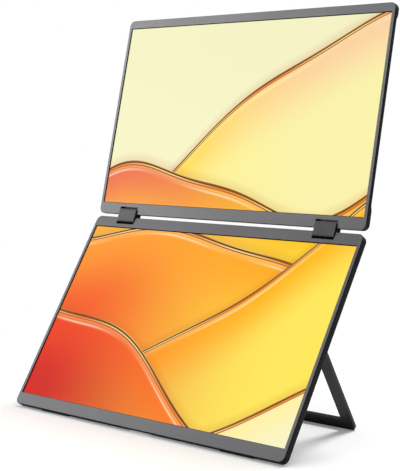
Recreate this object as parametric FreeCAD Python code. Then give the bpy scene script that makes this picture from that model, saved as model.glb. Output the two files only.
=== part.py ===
"""Stacked two-screen portable monitor that extends a laptop.

Two slim 15.6 inch displays sit one above the other. A pair of geared two-axis hinges joins them, so the
upper display folds face to face onto the lower one. A U-shaped kickstand, let into the back of the lower
display, props it up on a desk.

The part stands on the desk plane Z = 0 with its screens facing -Y and +X to the viewer's right. Every display
is drawn flat first: X across, Y backwards from its front face, Z up from its bottom edge. Then it is leaned
back into place. The hinge links and the stand are drawn in the same way from their own pivots.
"""

import FreeCAD, Part

import math
import os

V = FreeCAD.Vector

# Driving dimensions, in millimetres and degrees.
ACTIVE_W = 344.2            # picture area of a 15.6 inch 16:9 display
ACTIVE_H = 193.5
BORDER_SIDE = 4.2           # front frame beside the picture
LOWER_BORDER_BOTTOM = 12.6
LOWER_BORDER_TOP = 12.4
UPPER_BORDER_BOTTOM = 12.3
UPPER_BORDER_TOP = 9.3
CORNER_R = 6.0
LOWER_T = 8.5               # overall thickness of each display
UPPER_T = 7.5
LOWER_LEAN = 32.2           # back from upright, as it stands
UPPER_LEAN = 13.0

BEZEL_T = 1.2               # front frame's plate
BEZEL_CHAMFER = 0.4
MATRIX_SHOWN = 0.6          # black rim of the display that the window leaves open
CELL_RIM = 2.0              # display glass beyond the picture
CELL_T = 0.8
BACKLIGHT_T = 1.6
SHELL_WALL = 1.5            # side walls of the rear covers
SHELL_FLOOR = 1.3           # rear covers' back
EDGE_R = 2.5                # rounding where a rear cover's side meets its back
LAY_GAP = 0.1               # between parts that lie on each other inside a display
RIB_T = 1.0
LOWER_RIB_X = 58.0
UPPER_RIB_X = 88.0
UPPER_RIB_START = 30.0      # upper cover's upright ribs above its cavity's floor edge
CROSS_RIB_AT = 120.0
SIDE_CAVITY_AT = 40.0       # hollow beside the stand, above the bottom edge
LOWER_TOP_RIM = 3.0         # solid rims of the covers beyond their cavities
UPPER_TOP_RIM = 2.0
UPPER_LOW_RIM = 6.0
TRAY_LIP = 1.0              # rim of the backlight's tray, and how far it stands up
TRAY_DISH = 0.3

SCOOP_START = 15.0          # the upper cover's sides are scooped out between its ends
SCOOP_RUN = 8.0
SCOOP_EDGE = 4.2            # thickness left at the scooped edge
SCOOP_WIDTH = 9.0

HINGE_INSET = 44.8          # middle of each hinge from the display's side
LINK_W = 25.0
LINK_END = 3.6              # link beyond its axes
LINK_FRONT = 5.4            # link's front and back faces from its axes
LINK_BACK = 3.6
LINK_ROUND = 2.8
LINK_FLAT = 1.8             # bevel along the edges of the room inside a link
LINK_CHAMFER = 0.3
LINK_WALL = 0.9
LINK_PARTING = 0.05         # half the seam between a link's two covers
LINK_SCREW_AT = 19.0        # from the link's inner end
LINK_COLUMN_R = 2.2
AXIS_GAP = 9.0              # between the two hinge axes
AXIS_DEPTH = 3.8            # hinge axis behind each front face
FRONT_GAP = 3.35            # between the two front frames as the part stands
NOTCH_CLEAR = 0.4
NOTCH_SIDE_CLEAR = 0.5
SHAFT_R = 1.2
RUNNING = 0.04              # radial clearance of a turning fit
SHAFT_TEETH = 10
IDLER_TEETH = 10
TOOTH_SHARE = 0.45          # tooth's share of a pitch, which leaves backlash
GEAR_W = 3.0
GEAR_AT = 8.6               # gears' first face from the link's inner end
PLATE_T = 1.2               # bearing plates
PLATE_GAP = 0.1
PLATE_FIT = 0.05            # around a plate, in its link
IDLER_PIN_R = 0.7
CLIP_T = 0.8                # retaining clip on a shaft's end
CLIP_R = 2.2
WASHER_T = 0.8
WASHER_R = 2.5
WASHER_COUNT = 2
KNUCKLE_R = 1.75            # bracket's eye around the shaft
KNUCKLE_W = 5.0
KNUCKLE_CLEAR = 0.15
BRACKET_GAP = 1.5           # from a notch to its bracket
LEAF_W = 28.0
LEAF_H = 7.8
LEAF_T = 1.2
LEAF_SCREW_Z = 5.0          # leaf's screws from the hinge axis
LEAF_SCREW_XS = (3.4, 13.4)     # and from the leaf's far end
LEAF_SCREW_L = 2.4
LEAF_HEAD_R = 1.6
LEAF_HEAD_H = 0.7

STAND_INSET = 29.8          # stand's outer edge from the display's side
STAND_BAR = 12.4            # width of its legs and foot bar
STAND_T = 3.2
STAND_LENGTH = 134.4        # from pivot to the foot's end
STAND_FLAT = 0.8            # cut off the foot's corner where it meets the desk
STAND_PIVOT = 136.5         # pivot above the lower display's bottom edge
STAND_CORNER_R = 5.0        # outer corners of the U
STAND_INNER_R = 2.0
STAND_CLEAR = 0.4
STAND_PIN_R = 1.0
STAND_EAR_T = 2.0
STAND_EAR_H = 7.0
CLEVIS_BRIDGE = 2.8
STAND_PAD_H = 2.2           # rubber on the foot's end
FINGER_W = 28.0             # notch that lets a fingertip lift the stand
FINGER_H = 3.0
FINGER_R = 3.0
DESK_PAD_T = 0.5            # rubber feet under the lower display
DESK_PAD_L = 40.0
DESK_PAD_INSET = 56.3       # their middles from the display's sides
DESK_PAD_TOP = 1.7          # pads' upper edge above the lower display's bottom edge

SCREW_HEAD_R = 1.9
SCREW_HEAD_H = 1.1
SCREW_R = 0.8
HEAD_SIDES = 12             # flats of small repeated rounds: heads and bosses, then shanks, pins and washers
PIN_SIDES = 8
BOSS_R = 2.2
BOSS_END = 4.6              # depth at which the bezel's bosses end
BOSS_INSET = 4.7            # bosses from the display's top and bottom edges
SCREW_INSET = 16.3          # outer screws from the display's sides
FIT_GAP = 0.2

BOARD_T = 0.8
BOARD_AT = 60.0             # main board's lower end above the bottom edge
BOARD_GAP = 1.0             # between the main board and the key board above it
BOARD_KEY_W = 4.0           # notch that lets a board fit one way only
BOARD_KEY_H = 5.0
BOARD_CHIPS = ((24.0, 9.0, 1.1), (52.0, 7.0, 1.0), (76.0, 5.0, 1.4))     # height on the board, size, thickness
DRIVER_BOARD_W = 120.0
DRIVER_BOARD_H = 18.0
DRIVER_BOARD_RISE = 8.0     # above the upper picture's lower border
DRIVER_BOARD_GAP = 1.0
DRIVER_CHIP_XS = (-40.0, -8.0, 24.0)
DRIVER_CHIP = 6.0
DRIVER_CHIP_T = 0.9
FIRST_PORT = 20.0           # lowest socket above the board's lower end
PORT_STEP = 21.0
PORT_Y = 5.4                # sockets' and keys' centre line behind the front face
PORT_INSET = 0.6            # sockets' mouths from the side wall's outside
PORT_L = 8.0
PORT_SKIN = 0.3
PORT_BACK = 1.0             # closed end of a socket
TONGUE_BACK = 1.2           # tongue's tip behind the mouth
USB_W = 9.0
USB_H = 3.2
USB_TONGUE_W = 6.6
HDMI_W = 11.2
HDMI_H = 3.2
HDMI_STEP_W = 1.5           # lower corners cut off an HDMI shell
HDMI_STEP_H = 1.2
HDMI_STEP_RUN = 0.4
HDMI_TONGUE_W = 7.2
TONGUE_T = 0.7

KEY_H = 2.4
KEY_PROUD = 0.7
KEY_CLEAR = 0.3
KEY_LUG = 0.8               # what holds a key in, behind the wall
BUTTON_DROP = 44.5          # power button below the top edge
BUTTON_L = 9.0
BUTTON_TRAVEL = 0.5
ROCKER_DROP = 28.5
ROCKER_L = 14.0
ROCKER_TILT = 3.5
ROCKER_PIN_R = 0.6
SWITCH_T = 1.2
SWITCH_W = 3.0
ROCKER_SWITCH = 4.6         # rocker's two switches from its pivot

CABLE_DROP = 14.0           # flat cable below the main board's upper end
CABLE_L = 88.8
CABLE_W = 10.0
CABLE_T = 0.3
SPEAKER_INSET = 80.3        # speakers' middles from the display's sides
SPEAKER_AT = 20.0           # their lower edges above the bottom edge
SPEAKER_W = 40.0
SPEAKER_H = 15.0
MOUTH_W = 16.0              # speaker's opening towards its grille
MOUTH_H = 9.0
MOUTH_RISE = 3.0
MOUTH_DEEP = 1.2
GRILLE_RISE = 7.0           # grille's middle above the speaker's lower edge
SLOT_COUNT = 10
SLOT_PITCH = 3.0
SLOT_W = 1.2
SLOT_H = 9.0
VENT_COUNT = 14
VENT_DROP = 34.0            # vents' middle below the top edge

# Sizes that follow from the driving ones.
WIDTH = ACTIVE_W + 2 * BORDER_SIDE
LOWER_H = ACTIVE_H + LOWER_BORDER_BOTTOM + LOWER_BORDER_TOP
UPPER_H = ACTIVE_H + UPPER_BORDER_BOTTOM + UPPER_BORDER_TOP
LINK_LEAN = (LOWER_LEAN + UPPER_LEAN) / 2
HALF_FOLD = math.radians((LOWER_LEAN - UPPER_LEAN) / 2)
AXIS_EDGE = ((AXIS_GAP - FRONT_GAP) / 2 - AXIS_DEPTH * math.sin(HALF_FOLD)) / math.cos(HALF_FOLD)
HINGE_X = WIDTH / 2 - HINGE_INSET
STAND_HALF = WIDTH / 2 - STAND_INSET
SCREW_X = WIDTH / 2 - SCREW_INSET
DESK_PAD_X = WIDTH / 2 - DESK_PAD_INSET
SPEAKER_X = WIDTH / 2 - SPEAKER_INSET
NOTCH_R = LINK_FRONT + NOTCH_CLEAR
NOTCH_HALF = LINK_W / 2 + NOTCH_SIDE_CLEAR
CELL_FRONT = BEZEL_T
CELL_BACK = CELL_FRONT + CELL_T
MODULE_BACK = CELL_BACK + BACKLIGHT_T + LAY_GAP
STAND_DEPTH = LOWER_T - STAND_T / 2
BRACKET_END = HINGE_X - NOTCH_HALF - BRACKET_GAP     # bracket's end beside its notch
EAR_IN = STAND_HALF - STAND_BAR - STAND_CLEAR       # clevis ears' faces towards the leg
EAR_OUT = STAND_HALF + STAND_CLEAR
STAND_ROOM_IN = EAR_IN - STAND_EAR_T - SHELL_WALL    # walls beside the stand's recess
STAND_ROOM_OUT = EAR_OUT + STAND_EAR_T + SHELL_WALL
RECESS_FLOOR = LOWER_T - STAND_T - STAND_CLEAR
CLEVIS_TOP = STAND_PIVOT + STAND_EAR_H / 2 + CLEVIS_BRIDGE
WALL_X = -WIDTH / 2         # outside of the left wall
BOARD_X = WALL_X + SHELL_WALL + FIT_GAP
BOARD_END = -STAND_ROOM_OUT - 3 * FIT_GAP
BOARD_Y = MODULE_BACK + LAY_GAP
PORT_X = WALL_X + PORT_INSET
USB_PORTS = (1, 2)          # sockets counted from the lowest, which is the mini HDMI
HDMI_PORT = 0
BUTTON_AT = LOWER_H - BUTTON_DROP
ROCKER_AT = LOWER_H - ROCKER_DROP
KEY_BACK = WALL_X + SHELL_WALL + KEY_CLEAR + KEY_LUG      # inner face of both keys
ROCKER_PIN_X = KEY_BACK - KEY_LUG
BOARD_H = BUTTON_AT - BUTTON_L - BOARD_GAP - BOARD_AT
CABLE_AT = BOARD_AT + BOARD_H - CABLE_DROP
MODULE = AXIS_GAP / (SHAFT_TEETH + 2 * IDLER_TEETH)
SHAFT_GEAR_R = MODULE * SHAFT_TEETH / 2
IDLER_R = MODULE * IDLER_TEETH / 2
IDLER_ZS = (SHAFT_GEAR_R + IDLER_R, SHAFT_GEAR_R + 3 * IDLER_R)


def leaned(lean, y, z):
    """Placement of a flat-drawn group, leaned back by lean, with its origin at (y, z)."""
    return FreeCAD.Placement(V(0, y, z), FreeCAD.Rotation(V(1, 0, 0), -lean))


def point(place, y, z):
    """World position of a flat-drawn point."""
    return place.multVec(V(0, y, z))


# Where each group stands. The lower display's rubber feet touch the desk.
_sin, _cos = math.sin(math.radians(LOWER_LEAN)), math.cos(math.radians(LOWER_LEAN))
LOWER_Z = EDGE_R + DESK_PAD_T - EDGE_R * _cos + (LOWER_T - EDGE_R) * _sin
_draft = leaned(LOWER_LEAN, 0, LOWER_Z)
_axis = point(_draft, AXIS_DEPTH, LOWER_H - AXIS_EDGE)
_link = leaned(LINK_LEAN, _axis.y, _axis.z)
_upper_axis = point(_link, 0, AXIS_GAP)
_offset = leaned(UPPER_LEAN, 0, 0).multVec(V(0, AXIS_DEPTH, AXIS_EDGE))
_upper = leaned(UPPER_LEAN, _upper_axis.y - _offset.y, _upper_axis.z - _offset.z)
_back = point(_upper, UPPER_T - EDGE_R, UPPER_H - EDGE_R).y + EDGE_R
_front = point(_draft, 0, BEZEL_CHAMFER).y
SHIFT_Y = -(_back + _front) / 2
LOWER = leaned(LOWER_LEAN, SHIFT_Y, LOWER_Z)
LINK = leaned(LINK_LEAN, _axis.y + SHIFT_Y, _axis.z)
UPPER = leaned(UPPER_LEAN, _upper_axis.y - _offset.y + SHIFT_Y, _upper_axis.z - _offset.z)
PIVOT = point(LOWER, STAND_DEPTH, STAND_PIVOT)
_reach = math.hypot(STAND_LENGTH, STAND_T / 2)
STAND_LEAN = math.degrees(math.acos((PIVOT.z + STAND_FLAT) / _reach) + math.atan2(STAND_T / 2, STAND_LENGTH))
STAND = leaned(-STAND_LEAN, PIVOT.y, PIVOT.z)
ROCKER_PIVOT = LOWER.multVec(V(ROCKER_PIN_X, PORT_Y, ROCKER_AT))


def box(x0, x1, y0, y1, z0, z1):
    """Box between two corners."""
    return Part.makeBox(x1 - x0, y1 - y0, z1 - z0, V(x0, y0, z0))


def rod(radius, x0, x1, y, z):
    """Cylinder along X."""
    return Part.makeCylinder(radius, x1 - x0, V(x0, y, z), V(1, 0, 0))


def post(radius, x, z, y0, y1):
    """Cylinder along Y, through a display's thickness."""
    return Part.makeCylinder(radius, y1 - y0, V(x, y0, z), V(0, 1, 0))


def facets(radius, start, along, sides):
    """Flat-sided bar from start along a vector, radius to its corners. Small repeated rounds are made so."""
    u = V(0, 1, 0) if along.x else V(1, 0, 0)
    turns = [2 * math.pi * (k + 0.5) / sides for k in range(sides)]
    points = [start + u * (radius * math.cos(t)) + V(0, 0, radius * math.sin(t)) for t in turns]
    return Part.Face(Part.makePolygon(points + points[:1])).extrude(along)


def peg(radius, x, z, y0, y1, sides=HEAD_SIDES):
    """Flat-sided bar along Y."""
    return facets(radius, V(x, y0, z), V(0, y1 - y0, 0), sides)


def pin(radius, x0, x1, y, z, sides=PIN_SIDES):
    """Flat-sided bar along X, radius to its corners."""
    return facets(radius, V(x0, y, z), V(x1 - x0, 0, 0), sides)


def bore(radius, x0, x1, y, z, sides=PIN_SIDES):
    """Flat-sided hole along X that clears a turning shaft of that radius."""
    return pin(radius / math.cos(math.pi / sides), x0, x1, y, z, sides)


def outline(x0, x1, z0, z1, radius, y):
    """Face at depth y with rounded corners."""
    edges = []
    corners = ((x1 - radius, z0 + radius, -90), (x1 - radius, z1 - radius, 0),
               (x0 + radius, z1 - radius, 90), (x0 + radius, z0 + radius, 180))
    ends = []
    for cx, cz, start in corners:
        a, b = math.radians(start), math.radians(start + 90)
        m = (a + b) / 2
        on = [V(cx + radius * math.cos(t), y, cz + radius * math.sin(t)) for t in (a, m, b)]
        edges.append(Part.Arc(*on).toShape())
        ends.append((on[0], on[2]))
    for i in range(4):
        edges.append(Part.LineSegment(ends[i][1], ends[(i + 1) % 4][0]).toShape())
    wire = Part.Wire(Part.__sortEdges__(edges))
    return Part.Face(wire)


def slab(x0, x1, z0, z1, radius, y0, y1):
    """Plate with rounded corners between two depths."""
    return outline(x0, x1, z0, z1, radius, y0).extrude(V(0, y1 - y0, 0))


def cut_all(solid, tools):
    """Solid less every tool."""
    tools = list(tools)
    return solid.cut(tools) if tools else solid


def fuse_all(shapes):
    """Union of shapes, with seams between coplanar faces removed."""
    shapes = list(shapes)
    return shapes[0].fuse(shapes[1:]).removeSplitter() if len(shapes) > 1 else shapes[0]


def edges_at_depth(solid, y, keep=lambda box: True):
    """Edges that lie in one depth plane."""
    found = []
    for edge in solid.Edges:
        bound = edge.BoundBox
        if abs(bound.YMin - y) < 1e-4 and abs(bound.YMax - y) < 1e-4 and keep(bound):
            found.append(edge)
    return found


def hinge_notches(axis_z, edge_z):
    """Room for both links in one display: round behind the hinge axis, straight ahead of it and at the edge."""
    toward = math.copysign(1.0, edge_z - axis_z)
    tools = []
    for side in (-1, 1):
        x0, x1 = side * HINGE_X - NOTCH_HALF, side * HINGE_X + NOTCH_HALF
        tools.append(rod(NOTCH_R, x0, x1, AXIS_DEPTH, axis_z))
        low, high = sorted((axis_z - toward * NOTCH_R, edge_z + toward))
        tools.append(box(x0, x1, -1, AXIS_DEPTH, low, high))
        low, high = sorted((axis_z, edge_z + toward))
        tools.append(box(x0, x1, AXIS_DEPTH - 0.5, LOWER_T + 1, low, high))
    return tools


def screw_places(height):
    """Centres of the screws that hold a display's covers together."""
    top = (-SCREW_X, 0, SCREW_X)
    bottom = (-SCREW_X, SCREW_X) if height == LOWER_H else top      # the stand's foot fills its middle
    return [(x, BOSS_INSET) for x in bottom] + [(x, height - BOSS_INSET) for x in top]


def front_bezel(height, bottom, axis_z, edge_z):
    """Metal front frame: a chamfered plate with the window, and the bosses behind its border."""
    half = WIDTH / 2
    plate = slab(-half, half, 0, height, CORNER_R, 0, BEZEL_T)
    plate = plate.makeChamfer(BEZEL_CHAMFER, edges_at_depth(plate, 0))
    rim = MATRIX_SHOWN
    window = box(-ACTIVE_W / 2 - rim, ACTIVE_W / 2 + rim, -1, BEZEL_T + 1,
                 bottom - rim, bottom + ACTIVE_H + rim)
    plate = plate.cut(window)
    bosses = [peg(BOSS_R, x, z, BEZEL_T / 2, BOSS_END) for x, z in screw_places(height)]
    bezel = fuse_all([plate] + bosses)
    threads = [peg(SCREW_R, x, z, CELL_BACK, BOSS_END + 1, PIN_SIDES) for x, z in screw_places(height)]
    return cut_all(bezel, threads + hinge_notches(axis_z, edge_z))


def cell(bottom):
    """Display glass, a little larger than its picture."""
    return box(-ACTIVE_W / 2 - CELL_RIM, ACTIVE_W / 2 + CELL_RIM, CELL_FRONT, CELL_BACK,
               bottom - CELL_RIM, bottom + ACTIVE_H + CELL_RIM)


def backlight(bottom):
    """Light guide in its folded tray, with the lip that holds its films."""
    x = ACTIVE_W / 2 + CELL_RIM
    body = box(-x, x, CELL_BACK, CELL_BACK + BACKLIGHT_T, bottom - CELL_RIM, bottom + ACTIVE_H + CELL_RIM)
    dish = box(-x + TRAY_LIP, x - TRAY_LIP, CELL_BACK + BACKLIGHT_T - TRAY_DISH, CELL_BACK + BACKLIGHT_T + 1,
               bottom - CELL_RIM + TRAY_LIP, bottom + ACTIVE_H + CELL_RIM - TRAY_LIP)
    return body.cut(dish)


def shell_blank(height, thickness):
    """Rear cover's outer form: straight sides rounded over into the back."""
    half = WIDTH / 2
    blank = slab(-half, half, 0, height, CORNER_R, BEZEL_T, thickness)
    return blank.makeFillet(EDGE_R, edges_at_depth(blank, thickness))


def module_pocket(bottom):
    """Pocket in a rear cover that the glass and its backlight lie in."""
    x = ACTIVE_W / 2 + CELL_RIM + FIT_GAP / 2
    return box(-x, x, BEZEL_T - 1, MODULE_BACK, bottom - CELL_RIM - FIT_GAP,
               bottom + ACTIVE_H + CELL_RIM + FIT_GAP)


def screw_holes(height, thickness):
    """Boss seats, shank holes and head recesses of a rear cover."""
    tools = []
    head_seat = thickness - SCREW_HEAD_H - LAY_GAP
    for x, z in screw_places(height):
        tools.append(peg(BOSS_R + FIT_GAP, x, z, BEZEL_T - 1, BOSS_END))
        tools.append(peg(SCREW_R + FIT_GAP, x, z, BOSS_END - 1, thickness + 1, PIN_SIDES))
        tools.append(peg(SCREW_HEAD_R + FIT_GAP, x, z, head_seat, thickness + 1))
    return tools


def cover_screws(height, thickness):
    """Pan screws, one per boss, with their heads sunk in the rear cover."""
    seat = thickness - SCREW_HEAD_H - LAY_GAP
    screws = []
    for x, z in screw_places(height):
        head = peg(SCREW_HEAD_R, x, z, seat, thickness - LAY_GAP)
        screws.append(fuse_all([head, peg(SCREW_R, x, z, CELL_BACK + LAY_GAP, seat, PIN_SIDES)]))
    return Part.makeCompound(screws)


def bracket_room(side, axis_z, toward):
    """Pocket in a rear cover for one hinge bracket, open to the front. toward is +1 in the upper display."""
    eye_r = KNUCKLE_R + KNUCKLE_CLEAR
    x0, x1 = sorted((side * (BRACKET_END - KNUCKLE_W - FIT_GAP), side * (HINGE_X - NOTCH_HALF + 1)))
    eye = bore(eye_r, x0, x1, AXIS_DEPTH, axis_z, HEAD_SIDES)
    mouth = box(x0, x1, BEZEL_T - 1, AXIS_DEPTH, axis_z - eye_r, axis_z + eye_r)
    xa, xb = sorted((side * (BRACKET_END - LEAF_W - FIT_GAP), side * (BRACKET_END + FIT_GAP)))
    za, zb = sorted((axis_z, axis_z + toward * (LEAF_H + FIT_GAP)))
    leaf = box(xa, xb, BEZEL_T - 1, AXIS_DEPTH + LEAF_T / 2, za, zb)
    return [eye, mouth, leaf]


def bracket(side, axis_z, toward):
    """Pressed steel leaf with the eye that grips the hinge shaft. It is screwed into the rear cover."""
    x0, x1 = sorted((side * (BRACKET_END - KNUCKLE_W), side * BRACKET_END))
    xa, xb = sorted((side * (BRACKET_END - LEAF_W), side * BRACKET_END))
    eye = pin(KNUCKLE_R, x0, x1, AXIS_DEPTH, axis_z, HEAD_SIDES)
    y0, y1 = AXIS_DEPTH - LEAF_T / 2, AXIS_DEPTH + LEAF_T / 2
    root = box(x0, x1, y0, y1, *sorted((axis_z, axis_z + toward * LEAF_H)))
    leaf_start = axis_z + toward * (LEAF_SCREW_Z - LEAF_HEAD_R - FIT_GAP)
    leaf = box(xa, xb, y0, y1, *sorted((leaf_start, axis_z + toward * LEAF_H)))
    grip = rod(SHAFT_R, x0 - 1, x1 + 1, AXIS_DEPTH, axis_z)
    holes = [peg(SCREW_R, x, z, 0, LOWER_T, PIN_SIDES) for x, z in leaf_screws(side, axis_z, toward)]
    return cut_all(fuse_all([eye, root, leaf]), [grip] + holes)


def leaf_screws(side, axis_z, toward):
    """Centres of the two screws in one bracket."""
    z = axis_z + toward * LEAF_SCREW_Z
    return [(side * (BRACKET_END - LEAF_W + x), z) for x in LEAF_SCREW_XS]


def bracket_screws(axis_z, toward):
    """Pan screws of both brackets of a display. They stop short of the rear cover's outside."""
    face = AXIS_DEPTH - LEAF_T / 2
    screws = []
    for side in (-1, 1):
        for x, z in leaf_screws(side, axis_z, toward):
            head = peg(LEAF_HEAD_R, x, z, face - LEAF_HEAD_H, face)
            screws.append(fuse_all([head, peg(SCREW_R, x, z, face, face + LEAF_SCREW_L, PIN_SIDES)]))
    return Part.makeCompound(screws)


def bracket_screw_holes(axis_z, toward):
    """Threaded holes of those screws in the rear cover."""
    face = AXIS_DEPTH - LEAF_T / 2
    return [peg(SCREW_R, x, z, face, face + LEAF_SCREW_L + LAY_GAP, PIN_SIDES)
            for side in (-1, 1) for x, z in leaf_screws(side, axis_z, toward)]


def stand_u(grow, top, y0, y1):
    """U of the stand about its pivot, from its foot up to top. grow widens it by itself on every side."""
    o, i = STAND_HALF + grow, STAND_HALF - STAND_BAR - grow
    foot = -STAND_LENGTH - grow
    above = top + 2 * STAND_CORNER_R + 2 * grow
    outer = slab(-o, o, foot, above, STAND_CORNER_R + grow, y0, y1)
    outer = outer.cut(box(-o - 1, o + 1, y0 - 1, y1 + 1, top, above + 1))
    inner = slab(-i, i, foot + STAND_BAR + 2 * grow, above, STAND_INNER_R, y0 - 1, y1 + 1)
    return outer.cut(inner)


def stand_recess():
    """Room in the lower cover's back for the folded stand, its clevises and a fingertip at its foot."""
    u = stand_u(STAND_CLEAR, STAND_T / 2 + STAND_CLEAR, RECESS_FLOOR, LOWER_T + 1)
    u.translate(V(0, 0, STAND_PIVOT))
    tools = [u]
    for side in (-1, 1):
        x0, x1 = sorted((side * (EAR_IN - STAND_EAR_T - FIT_GAP), side * (EAR_OUT + STAND_EAR_T + FIT_GAP)))
        tools.append(box(x0, x1, RECESS_FLOOR, LOWER_T + 1, STAND_PIVOT - STAND_EAR_H / 2 - FIT_GAP,
                         CLEVIS_TOP + FIT_GAP))
    tools.append(slab(-FINGER_W / 2, FINGER_W / 2, -STAND_CORNER_R, STAND_BAR / 2 + FINGER_H, FINGER_R,
                      RECESS_FLOOR, LOWER_T + 1))
    return tools


def port_z(index):
    """Height of a socket on the left wall, counted from the lowest."""
    return BOARD_AT + FIRST_PORT + index * PORT_STEP


def stadium(width, height, z, x0, x1):
    """Bar along X at the sockets' centre line, with round ends, long in Z."""
    r = height / 2
    parts = [box(x0, x1, PORT_Y - r, PORT_Y + r, z - width / 2 + r, z + width / 2 - r),
             rod(r, x0, x1, PORT_Y, z - width / 2 + r), rod(r, x0, x1, PORT_Y, z + width / 2 - r)]
    return fuse_all(parts)


def hdmi_bar(z, shrink, x0, x1):
    """Bar along X with an HDMI shell's outline: a rectangle whose two rear corners are stepped off."""
    y0, y1 = PORT_Y - HDMI_H / 2 + shrink, PORT_Y + HDMI_H / 2 - shrink
    w, step = HDMI_W / 2 - shrink, y1 - HDMI_STEP_H
    narrow = w - HDMI_STEP_W
    end = step + HDMI_STEP_RUN
    corners = [V(x0, y0, z - w), V(x0, y0, z + w), V(x0, step, z + w), V(x0, end, z + narrow),
               V(x0, y1, z + narrow), V(x0, y1, z - narrow), V(x0, end, z - narrow), V(x0, step, z - w)]
    return Part.Face(Part.makePolygon(corners + corners[:1])).extrude(V(x1 - x0, 0, 0))


def wall_cuts():
    """Cut-outs of the lower cover's left wall for the sockets and the keys."""
    x0, x1 = WALL_X - 1, WALL_X + 4
    tools = [stadium(USB_W + FIT_GAP, USB_H + FIT_GAP, port_z(i), x0, x1) for i in USB_PORTS]
    tools.append(hdmi_bar(port_z(HDMI_PORT), -FIT_GAP / 2, x0, x1))
    for length, z in ((BUTTON_L, BUTTON_AT), (ROCKER_L, ROCKER_AT)):
        tools.append(stadium(length + 2 * KEY_CLEAR, KEY_H + 2 * KEY_CLEAR, z, x0, x1))
    return tools


def slots(x_middle, z_middle, count, y0, y1):
    """Row of upright slots through a back."""
    made = []
    for i in range(count):
        x = x_middle + (i - (count - 1) / 2) * SLOT_PITCH
        made.append(box(x - SLOT_W / 2, x + SLOT_W / 2, y0, y1, z_middle - SLOT_H / 2, z_middle + SLOT_H / 2))
    return made


def lower_rear_cover():
    """Moulded tray of the lower display, with the stand's recess, sockets, grilles and bracket seats."""
    axis_z = LOWER_H - AXIS_EDGE
    floor = LOWER_T - SHELL_FLOOR
    cover = shell_blank(LOWER_H, LOWER_T)
    low = LOWER_BORDER_BOTTOM + 2 * STAND_CLEAR + SHELL_WALL
    high = LOWER_H - LOWER_BORDER_TOP - LOWER_TOP_RIM
    middle = box(-STAND_ROOM_IN, STAND_ROOM_IN, MODULE_BACK - 1, floor, low, high)
    beside = box(WALL_X + SHELL_WALL, -STAND_ROOM_OUT, MODULE_BACK - 1, floor, SIDE_CAVITY_AT, high)
    ribs = [box(x - RIB_T / 2, x + RIB_T / 2, MODULE_BACK, floor, low, high) for x in (-LOWER_RIB_X, 0, LOWER_RIB_X)]
    tools = [module_pocket(LOWER_BORDER_BOTTOM), cut_all(middle, ribs), beside]
    tools += screw_holes(LOWER_H, LOWER_T)
    tools += hinge_notches(axis_z, LOWER_H)
    for side in (-1, 1):
        tools += bracket_room(side, axis_z, -1)
    tools += bracket_screw_holes(axis_z, -1)
    tools += stand_recess() + wall_cuts()
    tools.append(box(-STAND_ROOM_OUT - 1, -STAND_ROOM_IN + 1, MODULE_BACK, MODULE_BACK + CABLE_T + FIT_GAP,
                     CABLE_AT - FIT_GAP, CABLE_AT + CABLE_W + FIT_GAP))
    for side in (-1, 1):
        tools += slots(side * SPEAKER_X, SPEAKER_AT + GRILLE_RISE, SLOT_COUNT, floor - 1, LOWER_T + 1)
    tools += slots(0, LOWER_H - VENT_DROP, VENT_COUNT, floor - 1, LOWER_T + 1)
    return cut_all(cover, tools)


def scoop(side):
    """Sloping cut that thins one side edge of the upper cover between its ends."""
    x = side * WIDTH / 2 + side * 0.01
    top = UPPER_T + 4
    z0, z1 = SCOOP_START, UPPER_H - SCOOP_START / 2
    rise = UPPER_T - SCOOP_EDGE
    corners = [V(x, top, z0 - SCOOP_RUN), V(x, UPPER_T, z0), V(x, SCOOP_EDGE, z0 + SCOOP_RUN),
               V(x, SCOOP_EDGE, z1 - SCOOP_RUN), V(x, UPPER_T, z1), V(x, top, z1 + SCOOP_RUN)]
    face = Part.Face(Part.makePolygon(corners + corners[:1]))
    return face.extrude(V(-side * SCOOP_WIDTH, rise + 0.2, 0))


def upper_rear_cover():
    """Moulded tray of the upper display, slimmer along its sides."""
    axis_z = AXIS_EDGE
    floor = UPPER_T - SHELL_FLOOR
    cover = shell_blank(UPPER_H, UPPER_T)
    cover = cut_all(cover, [scoop(-1), scoop(1)])
    half = WIDTH / 2 - SCOOP_WIDTH - SHELL_WALL
    low, high = UPPER_BORDER_BOTTOM + UPPER_LOW_RIM, UPPER_H - UPPER_BORDER_TOP - UPPER_TOP_RIM
    middle = box(-half, half, MODULE_BACK - 1, floor, low, high)
    ribs = [box(x - RIB_T / 2, x + RIB_T / 2, MODULE_BACK, floor, low + UPPER_RIB_START, high)
            for x in (-UPPER_RIB_X, 0, UPPER_RIB_X)]
    ribs.append(box(-half, half, MODULE_BACK, floor, CROSS_RIB_AT, CROSS_RIB_AT + RIB_T))
    tools = [module_pocket(UPPER_BORDER_BOTTOM), cut_all(middle, ribs)]
    tools += screw_holes(UPPER_H, UPPER_T)
    tools += hinge_notches(axis_z, 0)
    for side in (-1, 1):
        tools += bracket_room(side, axis_z, 1)
    tools += bracket_screw_holes(axis_z, 1)
    return cut_all(cover, tools)


def board(x0, x1, z0, z1, y0):
    """Circuit board with a notch in one corner, so it fits one way only."""
    plate = box(x0, x1, y0, y0 + BOARD_T, z0, z1)
    return plate.cut(box(x1 - BOARD_KEY_W, x1 + 1, y0 - 1, y0 + BOARD_T + 1, z1 - BOARD_KEY_H, z1 + 1))


def main_board():
    """Main board, notched for the sockets, which lie half sunk in it."""
    plate = board(BOARD_X, BOARD_END, BOARD_AT, BOARD_AT + BOARD_H, BOARD_Y)
    end = PORT_X + PORT_L + FIT_GAP
    widths = {HDMI_PORT: HDMI_W, **{i: USB_W for i in USB_PORTS}}
    notches = [box(BOARD_X - 1, end, BOARD_Y - 1, BOARD_Y + BOARD_T + 1, port_z(i) - w / 2 - FIT_GAP,
                   port_z(i) + w / 2 + FIT_GAP) for i, w in widths.items()]
    return cut_all(plate, notches)


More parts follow.
